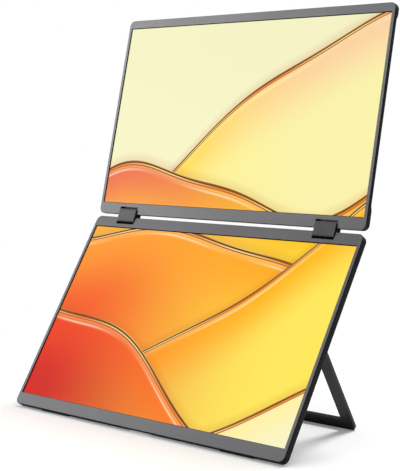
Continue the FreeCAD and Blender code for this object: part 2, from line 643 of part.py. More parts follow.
def chips(spots, y):
    """Square packages on a board, as (x, z, size, thickness)."""
    return Part.makeCompound([box(x - s / 2, x + s / 2, y, y + t, z - s / 2, z + s / 2) for x, z, s, t in spots])


def socket(shell, hollow, tongue_w, z):
    """Socket: a thin shell, closed behind, with its tongue."""
    tongue = box(PORT_X + TONGUE_BACK, PORT_X + PORT_L - PORT_SKIN, PORT_Y - TONGUE_T / 2, PORT_Y + TONGUE_T / 2,
                 z - tongue_w / 2, z + tongue_w / 2)
    return fuse_all([shell.cut(hollow), tongue])


def usb_socket(z):
    """USB-C receptacle."""
    k = 2 * PORT_SKIN
    shell = stadium(USB_W, USB_H, z, PORT_X, PORT_X + PORT_L)
    hollow = stadium(USB_W - k, USB_H - k, z, PORT_X - 1, PORT_X + PORT_L - PORT_BACK)
    return socket(shell, hollow, USB_TONGUE_W, z)


def hdmi_socket(z):
    """Mini HDMI receptacle."""
    shell = hdmi_bar(z, 0, PORT_X, PORT_X + PORT_L)
    hollow = hdmi_bar(z, PORT_SKIN, PORT_X - 1, PORT_X + PORT_L - PORT_BACK)
    return socket(shell, hollow, HDMI_TONGUE_W, z)


def speaker(side):
    """Flat box speaker with its cone opening towards the grille."""
    x = side * SPEAKER_X
    y0 = MODULE_BACK + LAY_GAP
    y1 = LOWER_T - SHELL_FLOOR
    case = box(x - SPEAKER_W / 2, x + SPEAKER_W / 2, y0, y1, SPEAKER_AT, SPEAKER_AT + SPEAKER_H)
    mouth = box(x - MOUTH_W / 2, x + MOUTH_W / 2, y1 - MOUTH_DEEP, y1 + 1,
                SPEAKER_AT + MOUTH_RISE, SPEAKER_AT + MOUTH_RISE + MOUTH_H)
    return case.cut(mouth)


def desk_pads():
    """Rubber strips let round the lower cover's bottom rear edge, on which the display stands."""
    pads = []
    z, y = EDGE_R, LOWER_T - EDGE_R
    for side in (-1, 1):
        x0, x1 = side * DESK_PAD_X - DESK_PAD_L / 2, side * DESK_PAD_X + DESK_PAD_L / 2
        strip = rod(EDGE_R + DESK_PAD_T, x0, x1, y, z).cut(rod(EDGE_R, x0 - 1, x1 + 1, y, z))
        quarter = box(x0 - 1, x1 + 1, y, y + 2 * EDGE_R, -EDGE_R, DESK_PAD_TOP)
        pads.append(strip.common(quarter))
    return Part.makeCompound(pads)


def tooth_points(radius, teeth):
    """Outline of an involute gear, as (radius, angle), with its flanks as short chords."""
    base = radius * math.cos(math.radians(20))
    tip, root = radius + 0.85 * MODULE, radius - 1.1 * MODULE
    lead = math.tan(math.acos(base / radius)) - math.acos(base / radius)
    half = math.pi / teeth * TOOTH_SHARE + lead

    def flank(r):
        if r <= base:
            return half
        a = math.acos(base / r)
        return half - (math.tan(a) - a)

    radii = (root, base, tip)
    points = []
    for k in range(teeth):
        middle = 2 * math.pi * k / teeth
        points += [(r, middle - flank(r)) for r in radii]
        points += [(r, middle + flank(r)) for r in reversed(radii)]
    return points


def gear(radius, teeth, x0, z, turned):
    """Straight spur gear across X at height z of the link. turned is its phase in tooth pitches."""
    phase = turned * 2 * math.pi / teeth
    points = [V(x0, r * math.sin(a + phase), z + r * math.cos(a + phase)) for r, a in tooth_points(radius, teeth)]
    face = Part.Face(Part.makePolygon(points + points[:1]))
    return face.extrude(V(GEAR_W, 0, 0))


def gear_phases():
    """Phases of the four gears of a link, from the lower shaft up, so that teeth meet gaps."""
    phases = [0.0]
    for teeth in (IDLER_TEETH, IDLER_TEETH, SHAFT_TEETH):
        phases.append((phases[-1] + 0.5 - teeth / 2) % 1.0)
    return phases


def link_span(side):
    """Ends of one link across X, from the end where the shafts leave it to its closed end."""
    return side * (HINGE_X - LINK_W / 2), side * (HINGE_X + LINK_W / 2)


def across(side, start, stop):
    """X span inside a link, measured from the end where its shafts leave."""
    x = link_span(side)[0]
    return sorted((x + side * start, x + side * stop))


def link_section(shrink, x0, x1):
    """Bar of the link's section: rounded outside, and bevelled where it is made smaller by shrink all round."""
    z0, z1 = -LINK_END + shrink, AXIS_GAP + LINK_END - shrink
    y0, y1 = -LINK_FRONT + shrink, LINK_BACK - shrink
    bar = box(x0, x1, y0, y1, z0, z1)
    long_edges = [e for e in bar.Edges if e.BoundBox.XLength > 1e-4]
    return bar.makeChamfer(LINK_FLAT, long_edges) if shrink else bar.makeFillet(LINK_ROUND, long_edges)


def link_shells(side):
    """Front and rear halves of one hinge cover, parted through both axes."""
    x0, x1 = sorted(link_span(side))
    outer = link_section(0, x0, x1)
    rim = [e for e in outer.Edges if e.BoundBox.XLength < 1e-4]
    outer = outer.makeChamfer(LINK_CHAMFER, rim)
    room = link_section(LINK_WALL, x0 + LINK_WALL, x1 - LINK_WALL)
    shell = outer.cut(room)
    a, b = across(side, -1, LINK_WALL + 1)
    shafts = [bore(SHAFT_R + FIT_GAP, a, b, 0, z, HEAD_SIDES) for z in (0, AXIS_GAP)]
    shell = cut_all(shell, shafts)
    x, z = link_screw_place(side)
    seat = LINK_BACK - SCREW_HEAD_H - LAY_GAP
    column = peg(LINK_COLUMN_R, x, z, -LINK_FRONT + LINK_WALL / 2, -LINK_PARTING)
    rear_column = peg(SCREW_HEAD_R + 2 * FIT_GAP + LINK_WALL / 2, x, z, LINK_PARTING, LINK_BACK - LINK_WALL / 2)
    ahead = box(x0 - 1, x1 + 1, -2 * LINK_FRONT, -LINK_PARTING, -2 * LINK_END, AXIS_GAP + 2 * LINK_END)
    behind = box(x0 - 1, x1 + 1, LINK_PARTING, 2 * LINK_BACK, -2 * LINK_END, AXIS_GAP + 2 * LINK_END)
    front = fuse_all([shell.common(ahead), column])
    front = front.cut(peg(SCREW_R, x, z, -LINK_FRONT + LINK_WALL, 0, PIN_SIDES))
    rear = fuse_all([shell.common(behind), rear_column])
    rear = rear.cut(peg(SCREW_R + FIT_GAP, x, z, 0, LINK_BACK, PIN_SIDES))
    rear = rear.cut(peg(SCREW_HEAD_R + FIT_GAP, x, z, seat, 2 * LINK_BACK))
    return front, rear


def link_screw_place(side):
    """Where one hinge cover's screw stands in the link."""
    return across(side, LINK_SCREW_AT, LINK_SCREW_AT)[0], AXIS_GAP / 2


def link_screw(side):
    """Screw that closes one hinge cover from behind."""
    x, z = link_screw_place(side)
    top = LINK_BACK - LAY_GAP
    head = peg(SCREW_HEAD_R, x, z, top - SCREW_HEAD_H, top)
    return fuse_all([head, peg(SCREW_R, x, z, -LINK_FRONT + LINK_WALL + FIT_GAP, top - SCREW_HEAD_H, PIN_SIDES)])


def bearing_plates(side):
    """Two steel plates that carry both shafts and both idler gears of one link."""
    plates = []
    for start in (GEAR_AT - PLATE_GAP - PLATE_T, GEAR_AT + GEAR_W + PLATE_GAP):
        x0, x1 = across(side, start, start + PLATE_T)
        plate = link_section(LINK_WALL + PLATE_FIT, x0, x1)
        bores = [bore(SHAFT_R + RUNNING, x0 - 1, x1 + 1, 0, z, HEAD_SIDES) for z in (0, AXIS_GAP)]
        bores += [bore(IDLER_PIN_R + RUNNING, x0 - 1, x1 + 1, 0, z) for z in IDLER_ZS]
        plates.append(cut_all(plate, bores))
    return Part.makeCompound(plates)


def friction_washers(side):
    """Two stacks of dished washers that give each shaft its drag."""
    rings = []
    for z in (0, AXIS_GAP):
        for i in range(WASHER_COUNT):
            start = GEAR_AT - PLATE_T - 2 * PLATE_GAP - (i + 1) * (WASHER_T + PLATE_GAP)
            x0, x1 = across(side, start, start + WASHER_T)
            rings.append(pin(WASHER_R, x0, x1, 0, z).cut(bore(SHAFT_R + RUNNING, x0 - 1, x1 + 1, 0, z)))
    return Part.makeCompound(rings)


def shaft(side, z, turned):
    """Hinge shaft with its gear, drawn in the link's frame. It reaches out of the link into its bracket."""
    reach = NOTCH_SIDE_CLEAR + BRACKET_GAP + KNUCKLE_W
    end = GEAR_AT + GEAR_W + 2 * PLATE_GAP + PLATE_T
    bar = rod(SHAFT_R, *across(side, -reach, GEAR_AT), 0, z)
    teeth = gear(SHAFT_GEAR_R, SHAFT_TEETH, across(side, GEAR_AT, GEAR_AT + GEAR_W)[0], z, turned)
    journal = pin(SHAFT_R, *across(side, GEAR_AT + GEAR_W, end), 0, z, HEAD_SIDES)
    clip = pin(CLIP_R, *across(side, end, end + CLIP_T), 0, z)
    return fuse_all([bar, teeth, journal, clip])


def idler(side, index, turned):
    """Idler gear with its pins, drawn in the link's frame."""
    z = IDLER_ZS[index]
    ga, _ = across(side, GEAR_AT, GEAR_AT + GEAR_W)
    x0, x1 = across(side, GEAR_AT - PLATE_GAP - PLATE_T, GEAR_AT + GEAR_W + PLATE_GAP + PLATE_T)
    wheel = gear(IDLER_R, IDLER_TEETH, ga, z, turned)
    return fuse_all([wheel, pin(IDLER_PIN_R, x0, x1, 0, z)])


def stand_clevis(side):
    """Steel clevis in the lower cover that holds one of the stand's pins: two ears and the bridge above."""
    z0, z1 = STAND_PIVOT - STAND_EAR_H / 2, STAND_PIVOT + STAND_EAR_H / 2
    top = LOWER_T - FIT_GAP
    ears = [box(*sorted((side * p, side * q)), RECESS_FLOOR, top, z0, CLEVIS_TOP)
            for p, q in ((EAR_IN - STAND_EAR_T, EAR_IN), (EAR_OUT, EAR_OUT + STAND_EAR_T))]
    x0, x1 = sorted((side * (EAR_IN - STAND_EAR_T), side * (EAR_OUT + STAND_EAR_T)))
    clevis = fuse_all(ears + [box(x0, x1, RECESS_FLOOR, top, z1, CLEVIS_TOP)])
    return clevis.cut(bore(STAND_PIN_R + RUNNING, x0 - 1, x1 + 1, STAND_DEPTH, STAND_PIVOT, HEAD_SIDES))


def stand_frame():
    """U of the kickstand: two legs with a rounded eye at the pivot, and the foot bar, in its own frame."""
    half = STAND_T / 2
    o, i = STAND_HALF, STAND_HALF - STAND_BAR
    u = stand_u(0, 0, -half, half)
    u = u.cut(box(-o - 1, o + 1, -STAND_T, STAND_T, -STAND_LENGTH - 1, -STAND_LENGTH + STAND_PAD_H))
    eyes = [rod(half, *sorted((side * i, side * o)), 0, 0) for side in (-1, 1)]
    bores = [rod(STAND_PIN_R, *sorted((side * (i - 1), side * (o + 1))), 0, 0) for side in (-1, 1)]
    return cut_all(fuse_all([u] + eyes), bores)


def stand_pad():
    """Rubber strip along the stand's foot, cut flat where it meets the desk."""
    o = STAND_HALF + 1
    pad = stand_u(0, 0, -STAND_T / 2, STAND_T / 2)
    pad = pad.common(box(-o, o, -STAND_T, STAND_T, -STAND_LENGTH - 1, -STAND_LENGTH + STAND_PAD_H))
    pad.Placement = STAND
    return pad.cut(box(-o, o, PIVOT.y, PIVOT.y + 2 * STAND_LENGTH, -STAND_T, 0))


def stand_pins():
    """Pins through the stand's eyes, pressed into the legs and turning in the clevises."""
    pins = []
    for side in (-1, 1):
        ends = sorted((side * (EAR_IN - STAND_EAR_T), side * (EAR_OUT + STAND_EAR_T)))
        pins.append(rod(STAND_PIN_R, *ends, 0, 0))
    return Part.makeCompound(pins)


def stand_washers():
    """Friction washers between the stand's eyes and the clevis ears."""
    rings = []
    for side in (-1, 1):
        for x in (EAR_IN + STAND_CLEAR / 8, STAND_HALF + STAND_CLEAR / 8):
            a, b = sorted((side * x, side * (x + STAND_CLEAR * 3 / 4)))
            rings.append(pin(STAND_T / 2, a, b, 0, 0).cut(bore(STAND_PIN_R + RUNNING, a - 1, b + 1, 0, 0)))
    return Part.makeCompound(rings)


def power_button():
    """Round-ended push button with a flange behind the wall that keeps it in."""
    cap = stadium(BUTTON_L, KEY_H, BUTTON_AT, WALL_X - KEY_PROUD, KEY_BACK)
    flange = stadium(BUTTON_L + 4 * KEY_CLEAR, KEY_H, BUTTON_AT, KEY_BACK - KEY_LUG, KEY_BACK)
    return fuse_all([cap, flange])


def menu_rocker():
    """Round-ended rocker on a cross pin behind the wall."""
    cap = stadium(ROCKER_L, KEY_H, ROCKER_AT, WALL_X - KEY_PROUD, KEY_BACK - KEY_LUG)
    reach = ROCKER_SWITCH + SWITCH_W / 2
    half = KEY_H / 2
    arms = box(KEY_BACK - 2 * KEY_LUG, KEY_BACK, PORT_Y - half, PORT_Y + half, ROCKER_AT - reach, ROCKER_AT + reach)
    pin = post(ROCKER_PIN_R, ROCKER_PIN_X, ROCKER_AT, PORT_Y - KEY_H / 2 - FIT_GAP, PORT_Y + KEY_H / 2 + FIT_GAP)
    return fuse_all([cap, arms, pin])


def switch_board():
    """Small board behind the keys, with a switch for the button and two for the rocker."""
    face = KEY_BACK + BUTTON_TRAVEL + LAY_GAP
    y0, y1 = MODULE_BACK + FIT_GAP, LOWER_T - SHELL_FLOOR
    plate = box(face + SWITCH_T, face + SWITCH_T + BOARD_T, y0, y1, BUTTON_AT - BUTTON_L,
                ROCKER_AT + ROCKER_SWITCH + SWITCH_W)
    half = SWITCH_W / 2
    switches = [box(face, face + SWITCH_T, PORT_Y - KEY_H / 2, PORT_Y + KEY_H / 2, z - half, z + half)
                for z in (BUTTON_AT, ROCKER_AT - ROCKER_SWITCH, ROCKER_AT + ROCKER_SWITCH)]
    return fuse_all([plate] + switches)


def ribbon(x0, x1, z0, z1, y):
    """Flat cable that lies on a display's backlight tray."""
    return box(x0, x1, y, y + CABLE_T, z0, z1)


def build():
    """Every node, by name, where it stands."""
    lower_axis, upper_axis = LOWER_H - AXIS_EDGE, AXIS_EDGE
    nodes = {}

    def add(name, shape, place):
        shape = shape.copy()
        shape.Placement = place.multiply(shape.Placement)
        nodes[name] = shape

    add("lower_front_bezel", front_bezel(LOWER_H, LOWER_BORDER_BOTTOM, lower_axis, LOWER_H), LOWER)
    add("lower_rear_cover", lower_rear_cover(), LOWER)
    add("lower_display_glass", cell(LOWER_BORDER_BOTTOM), LOWER)
    add("lower_backlight_tray", backlight(LOWER_BORDER_BOTTOM), LOWER)
    add("lower_cover_screws", cover_screws(LOWER_H, LOWER_T), LOWER)
    add("lower_hinge_screws", bracket_screws(lower_axis, -1), LOWER)
    add("desk_pads", desk_pads(), LOWER)
    add("upper_front_bezel", front_bezel(UPPER_H, UPPER_BORDER_BOTTOM, upper_axis, 0), UPPER)
    add("upper_rear_cover", upper_rear_cover(), UPPER)
    add("upper_display_glass", cell(UPPER_BORDER_BOTTOM), UPPER)
    add("upper_backlight_tray", backlight(UPPER_BORDER_BOTTOM), UPPER)
    add("upper_cover_screws", cover_screws(UPPER_H, UPPER_T), UPPER)
    add("upper_hinge_screws", bracket_screws(upper_axis, 1), UPPER)

    add("main_board", main_board(), LOWER)
    chip_x = PORT_X + PORT_L + (BOARD_END - PORT_X - PORT_L) / 2
    spots = [(chip_x, BOARD_AT + z, size, thick) for z, size, thick in BOARD_CHIPS]
    add("board_chips", chips(spots, BOARD_Y + BOARD_T), LOWER)
    add("mini_hdmi_socket", hdmi_socket(port_z(HDMI_PORT)), LOWER)
    add("usb_c_sockets", Part.makeCompound([usb_socket(port_z(i)) for i in USB_PORTS]), LOWER)
    add("key_switch_board", switch_board(), LOWER)
    add("power_button", power_button(), LOWER)
    add("menu_rocker", menu_rocker(), LOWER)
    cable_x = BOARD_END + FIT_GAP
    add("lower_display_cable", ribbon(cable_x, cable_x + CABLE_L, CABLE_AT, CABLE_AT + CABLE_W, BOARD_Y), LOWER)
    driver_y = UPPER_T - SHELL_FLOOR - BOARD_T - DRIVER_BOARD_GAP
    driver_z = UPPER_BORDER_BOTTOM + DRIVER_BOARD_RISE
    half = DRIVER_BOARD_W / 2
    add("upper_driver_board", board(-half, half, driver_z, driver_z + DRIVER_BOARD_H, driver_y), UPPER)
    drivers = [(x, driver_z + DRIVER_BOARD_H / 2, DRIVER_CHIP, DRIVER_CHIP_T) for x in DRIVER_CHIP_XS]
    add("driver_chips", chips(drivers, driver_y + BOARD_T), UPPER)
    phases = gear_phases()
    for side, word in ((-1, "left"), (1, "right")):
        add(f"{word}_speaker", speaker(side), LOWER)
        add(f"{word}_lower_hinge_bracket", bracket(side, lower_axis, -1), LOWER)
        add(f"{word}_upper_hinge_bracket", bracket(side, upper_axis, 1), UPPER)
        add(f"{word}_lower_hinge_shaft", shaft(side, 0, phases[0]), LINK)
        add(f"{word}_upper_hinge_shaft", shaft(side, AXIS_GAP, phases[3]), LINK)
        front, rear = link_shells(side)
        add(f"{word}_hinge_front_cover", front, LINK)
        add(f"{word}_hinge_rear_cover", rear, LINK)
        add(f"{word}_bearing_plates", bearing_plates(side), LINK)
        add(f"{word}_friction_washers", friction_washers(side), LINK)
        add(f"{word}_lower_idler_gear", idler(side, 0, phases[1]), LINK)
        add(f"{word}_upper_idler_gear", idler(side, 1, phases[2]), LINK)
        add(f"{word}_stand_clevis", stand_clevis(side), LOWER)
    add("hinge_cover_screws", Part.makeCompound([link_screw(side) for side in (-1, 1)]), LINK)
    add("stand_frame", stand_frame(), STAND)
    nodes["stand_foot_pad"] = stand_pad()
    add("stand_pins", stand_pins(), STAND)
    add("stand_washers", stand_washers(), STAND)
    return nodes


def main():
    os.makedirs("parts", exist_ok=True)
    for name, shape in build().items():
        shape.exportStep(f"parts/{name}.step")
    print("pivots, mm: lower axis", LINK.Base, "upper axis", point(LINK, 0, AXIS_GAP))
    print("idler axes", [point(LINK, 0, z) for z in IDLER_ZS])
    print("stand pivot", PIVOT, "stand lean", round(STAND_LEAN, 3), "shift", round(SHIFT_Y, 3))
    print("rocker pivot", ROCKER_PIVOT)


main()
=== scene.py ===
"""Studio scene of the laptop screen extender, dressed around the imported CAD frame.

Lengths are metres. Materials are node trees on the carried-over parts. Each display's own flat
coordinates (across, through, up) come from its glass, so textures follow the leaning panels.
"""

import math

import bmesh
import bpy
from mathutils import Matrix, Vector


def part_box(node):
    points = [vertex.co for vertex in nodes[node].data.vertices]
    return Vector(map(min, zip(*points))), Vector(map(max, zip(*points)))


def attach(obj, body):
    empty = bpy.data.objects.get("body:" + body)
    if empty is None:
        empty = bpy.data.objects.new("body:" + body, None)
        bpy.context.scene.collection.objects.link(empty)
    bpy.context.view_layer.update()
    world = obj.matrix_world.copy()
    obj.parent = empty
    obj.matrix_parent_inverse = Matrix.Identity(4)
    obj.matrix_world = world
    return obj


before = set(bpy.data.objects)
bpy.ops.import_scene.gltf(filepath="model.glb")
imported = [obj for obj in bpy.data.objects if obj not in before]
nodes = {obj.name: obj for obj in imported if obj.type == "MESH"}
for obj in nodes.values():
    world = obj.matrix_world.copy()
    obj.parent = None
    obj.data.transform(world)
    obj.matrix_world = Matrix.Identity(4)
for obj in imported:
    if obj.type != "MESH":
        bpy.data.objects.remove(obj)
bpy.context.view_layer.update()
scene = bpy.context.scene

# The photograph's camera, solved from the corners of both displays and the stand.
IMAGE_W, IMAGE_H = 400, 471
FOCAL_PX = 1267.2
PRINCIPAL_PX = (239.8, 166.1)
CAMERA_AZIMUTH = 41.05          # degrees, from +Y towards -X
CAMERA_DROP = 1.99              # degrees below the horizon
CAMERA_PLACE = (0.8411, -0.9050, 0.29015)
SENSOR = 36.0                   # millimetres
FAR_CLIP = 50.0


def make_camera():
    """Camera at the photograph's viewing angle."""
    data = bpy.data.cameras.new("camera")
    data.sensor_fit = "AUTO"
    data.sensor_width = SENSOR
    data.lens = FOCAL_PX / IMAGE_H * SENSOR
    data.shift_x = (IMAGE_W / 2 - PRINCIPAL_PX[0]) / IMAGE_H
    data.shift_y = (PRINCIPAL_PX[1] - IMAGE_H / 2) / IMAGE_H
    data.clip_end = FAR_CLIP
    camera = bpy.data.objects.new("camera", data)
    camera.location = CAMERA_PLACE
    camera.rotation_euler = (math.radians(90 - CAMERA_DROP), 0, math.radians(CAMERA_AZIMUTH))
    scene.collection.objects.link(camera)
    scene.camera = camera


def srgb(hex_colour):
    """Linear RGBA of a colour written as on screen, such as "9a9a9e"."""
    parts = [int(hex_colour[i:i + 2], 16) / 255 for i in (0, 2, 4)]
    linear = [c / 12.92 if c <= 0.04045 else ((c + 0.055) / 1.055) ** 2.4 for c in parts]
    return (*linear, 1.0)


# Values between which most of a noise lies, and most of a steel's grain.
NOISE_SPAN, GRAIN_SPAN = (0.30, 0.70), (0.25, 0.75)


class Tree:
    """Short hand for building the node tree of a material or a world."""

    def __init__(self, owner, output="ShaderNodeOutputMaterial"):
        owner.use_nodes = True
        self.owner = owner
        self.nodes, self.links = owner.node_tree.nodes, owner.node_tree.links
        self.nodes.clear()
        self.output = self.nodes.new(output)

    def node(self, kind, **settings):
        made = self.nodes.new(kind)
        for key, value in settings.items():
            setattr(made, key, value)
        return made

    def feed(self, socket, value):
        """Links a socket to another node's output, or sets it. A text is a colour for srgb()."""
        if isinstance(value, bpy.types.NodeSocket):
            self.links.new(value, socket)
        else:
            socket.default_value = srgb(value) if isinstance(value, str) else value

    def first_output(self, kind, *values, **settings):
        """First output of a new node, whose inputs are fed with values in their order."""
        node = self.node(kind, **settings)
        for socket, value in zip(node.inputs, values):
            self.feed(socket, value)
        return node.outputs[0]

    def finish(self, surface):
        """Ends the tree in a shader, and returns the material or world that it belongs to."""
        self.feed(self.output.inputs["Surface"], surface)
        return self.owner

    # Numbers and colours.

    def math(self, operation, *values):
        return self.first_output("ShaderNodeMath", *values, operation=operation)

    def times(self, a, b):
        return self.math("MULTIPLY", a, b)

    def blend(self, a, b, share):
        """Mean of two numbers, with the first one's share of it."""
        return self.math("ADD", self.times(a, share), self.times(b, 1 - share))

    def mix(self, factor, a, b):
        """Mix of two colours."""
        node = self.node("ShaderNodeMix", data_type="RGBA")
        colour_inputs = (node.inputs[0], node.inputs[6], node.inputs[7])
        for socket, value in zip(colour_inputs, (factor, a, b)):
            self.feed(socket, value)
        return node.outputs[2]

    def ramp(self, value, low, high, to_low=0.0, to_high=1.0):
        """Smooth step from to_low at low to to_high at high."""
        return self.first_output("ShaderNodeMapRange", value, low, high, to_low, to_high,
                                 interpolation_type="SMOOTHSTEP")

    def spread(self, noise, low=0.0, high=1.0):
        """A noise, widened to a range."""
        return self.ramp(noise, *NOISE_SPAN, low, high)

    def band(self, value, rise, fall):
        """1 between a rise and a fall, each given as where it starts and ends, and 0 elsewhere."""
        return self.times(self.ramp(value, *rise), self.ramp(value, *fall, 1.0, 0.0))

    # Coordinates and textures.

    def object_coordinates(self):
        return self.node("ShaderNodeTexCoord").outputs["Object"]

    def mapped(self, origin=(0, 0, 0), lean=0.0, stretch=(1, 1, 1)):
        """Coordinates from an origin, leant back about X and measured in steps of stretch."""
        made = self.node("ShaderNodeMapping", vector_type="TEXTURE")
        self.feed(made.inputs["Vector"], self.object_coordinates())
        self.feed(made.inputs["Location"], origin)
        self.feed(made.inputs["Rotation"], (-lean, 0, 0))
        self.feed(made.inputs["Scale"], stretch)
        return made.outputs[0]

    def flat(self, panel, stretch=(1, 1, 1)):
        """Coordinates across, through and up a leaning panel, from its front bottom edge."""
        return self.mapped(panel["origin"], panel["lean"], stretch)

    def facing(self, direction):
        """How far the surface faces along a direction of the part, from -1 to 1."""
        made = self.node("ShaderNodeVectorMath", operation="DOT_PRODUCT")
        self.feed(made.inputs[0], self.node("ShaderNodeTexCoord").outputs["Normal"])
        self.feed(made.inputs[1], direction)
        return made.outputs["Value"]

    def noise(self, vector, scale, detail, roughness=0.5):
        """Noise with about scale cells in each unit of a vector."""
        made = self.node("ShaderNodeTexNoise")
        self.feed(made.inputs["Vector"], vector)
        self.feed(made.inputs["Scale"], scale)
        self.feed(made.inputs["Detail"], detail)
        self.feed(made.inputs["Roughness"], roughness)
        return made.outputs["Fac"]

    def drift(self, scale):
        """Slow change of tone over a part."""
        return self.noise(self.object_coordinates(), scale, detail=2.0)

    def bump(self, height, distance, strength):
        made = self.node("ShaderNodeBump")
        self.feed(made.inputs["Distance"], distance)
        self.feed(made.inputs["Strength"], strength)
        self.feed(made.inputs["Height"], height)
        return made.outputs[0]

    # Shaders.

    def surface(self, colour, roughness, metallic, normal, **sockets):
        """Ends the tree in a principled surface. Other sockets are named with _ for a space."""
        made = self.node("ShaderNodeBsdfPrincipled")
        self.feed(made.inputs["Base Color"], colour)
        self.feed(made.inputs["Roughness"], roughness)
        self.feed(made.inputs["Metallic"], metallic)
        self.feed(made.inputs["Normal"], normal)
        for key, value in sockets.items():
            self.feed(made.inputs[key.replace("_", " ")], value)
        return self.finish(made.outputs[0])

    def shader_mix(self, factor, a, b):
        return self.first_output("ShaderNodeMixShader", factor, a, b)

    def by_ray(self, light, shown):
        """One shader for what the camera sees, also through clear parts, and one for the light."""
        path = self.node("ShaderNodeLightPath").outputs
        direct = self.math("MAXIMUM", path["Is Camera Ray"], path["Is Transmission Ray"])
        return self.shader_mix(direct, light, shown)


def new_material(name):
    return Tree(bpy.data.materials.new(name))


def axes_of(lean):
    """Directions up and through a panel that leans back."""
    return {"up": Vector((0, math.sin(lean), math.cos(lean))),
            "through": Vector((0, math.cos(lean), -math.sin(lean)))}


def panel_of(glass_node, front_node):
    """Where one display stands: its lean, and its front bottom edge's middle."""
    mesh = nodes[glass_node].data
    widest = max(mesh.polygons, key=lambda face: face.area if face.normal.y < 0 else 0)
    lean = math.atan2(widest.normal.z, -widest.normal.y)
    axes = axes_of(lean)

    def span(name, direction):
        reach = [vertex.co.dot(axes[direction]) for vertex in nodes[name].data.vertices]
        return min(reach), max(reach)

    low, high = span(front_node, "up")
    front, _ = span(front_node, "through")
    glass_low, glass_high = span(glass_node, "up")
    glass_front, _ = span(glass_node, "through")
    return {"lean": lean, **axes, "origin": axes["up"] * low + axes["through"] * front,
            "height": high - low, "glass": (glass_low - low, glass_high - low),
            "glass_front": glass_front - front}


LOWER = panel_of("lower_display_glass", "lower_front_bezel")
UPPER = panel_of("upper_display_glass", "upper_front_bezel")
LINK_AXES = axes_of((LOWER["lean"] + UPPER["lean"]) / 2)
HALF_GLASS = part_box("lower_display_glass")[1].x


def paint(names, material):
    """Gives every named CAD node one material."""
    for name in names:
        mesh = nodes[name].data
        mesh.materials.clear()
        mesh.materials.append(material)


# Black of the dark edges, also painted shade in black on faces that look down; dark grey painted
# highlight on the bezels' chamfers that look up or sideways.
EDGE_BLACK_AND_SHADE, EDGE_STRIPE_HIGHLIGHT = "0e0e10", "29292c"
EDGE_SHEEN = 0.04                       # specular level of the dark edges, which stay dull
BRUSHED = (0.03, 0.00025, 0.00025)      # size of the bezels' grain across, through and up
# How far a face looks along a direction where a tone starts, and where it is full. Below: where
# painted shade in black fades out; lip: where a painted highlight fades in.
BEZEL_FRONT, BEZEL_CHAMFER, BEZEL_SHADE_BELOW = (0.80, 0.95), (0.35, 0.60), (-0.35, -0.15)
LINK_SHOWN, LINK_SHADE_BELOW, LINK_LIP_HIGHLIGHT = (0.25, 0.80), (-0.75, -0.35), (0.25, 0.70)
SHELL_BACK = (0.75, 0.98)
# Lighter grey painted on the hinge covers' upper lip: a painted highlight.
LIP_HIGHLIGHT_GREY, LIP_HIGHLIGHT_SHARE = "8c8a8d", 0.45
# The rear covers' sides are painted near black, darker than their back, as painted shade.
SHELL_SHADED_SIDES, SHELL_DARK, SHELL_LIGHT = "0f1011", "1a1b1d", "202124"
SPECK_GREY, SPECK_SHARE = "2a2b2f", 0.35


def bezel_metal(name, panel, light, dark, sheen):
    """Satin grey front with a fine long grain. Its chamfers carry a dark grey painted highlight
    where they look up or sideways, and painted shade in black where they look down; its edges are
    black.
    """
    t = new_material(name)
    grain = t.noise(t.flat(panel, BRUSHED), scale=1.0, detail=4.0, roughness=0.6)
    speck = t.noise(t.object_coordinates(), scale=2600.0, detail=2.0, roughness=0.6)
    grey = t.mix(t.spread(t.blend(grain, t.drift(9.0), 0.4)), dark, light)
    ahead = t.math("ABSOLUTE", t.facing(panel["through"]))
    # Chamfers that look down are painted black as shade; the others get the dark grey painted
    # highlight.
    out_of_painted_shade = t.ramp(t.facing(panel["up"]), *BEZEL_SHADE_BELOW)
    chamfer_highlight = t.times(t.ramp(ahead, *BEZEL_CHAMFER), out_of_painted_shade)
    colour = t.mix(chamfer_highlight, EDGE_BLACK_AND_SHADE, EDGE_STRIPE_HIGHLIGHT)
    colour = t.mix(t.ramp(ahead, *BEZEL_FRONT), colour, grey)
    rough = t.spread(t.blend(grain, speck, 0.5), 0.36, 0.5)
    return t.surface(colour, rough, metallic=0.15, normal=t.bump(speck, 0.000012, strength=0.35),
                     Specular_IOR_Level=t.ramp(ahead, *BEZEL_FRONT, EDGE_SHEEN, sheen))


def link_metal(name, light, dark):
    """Painted hinge cover: grey in front and on top, near black on its ends and rear. Its upper
    lip is painted a lighter grey as a highlight, and faces that look down are painted black as
    shade.
    """
    t = new_material(name)
    speck = t.noise(t.object_coordinates(), scale=2200.0, detail=3.0, roughness=0.6)
    grey = t.mix(t.spread(t.blend(speck, t.drift(60.0), 0.4)), dark, light)
    ahead = t.times(t.facing(LINK_AXES["through"]), -1.0)
    over = t.facing(LINK_AXES["up"])
    # Faces that look down fade to black: painted shade.
    out_of_painted_shade = t.ramp(over, *LINK_SHADE_BELOW)
    shown = t.times(t.ramp(t.math("MAXIMUM", ahead, over), *LINK_SHOWN), out_of_painted_shade)
    colour = t.mix(shown, EDGE_BLACK_AND_SHADE, grey)
    # Painted highlight: a lighter grey on the upper lip.
    colour = t.mix(t.times(t.ramp(over, *LINK_LIP_HIGHLIGHT), LIP_HIGHLIGHT_SHARE), colour, LIP_HIGHLIGHT_GREY)
    return t.surface(colour, t.spread(speck, 0.36, 0.48), metallic=0.1,
                     normal=t.bump(speck, 0.000012, strength=0.4),
                     Specular_IOR_Level=t.ramp(shown, 0.3, 0.8, EDGE_SHEEN, 0.3))


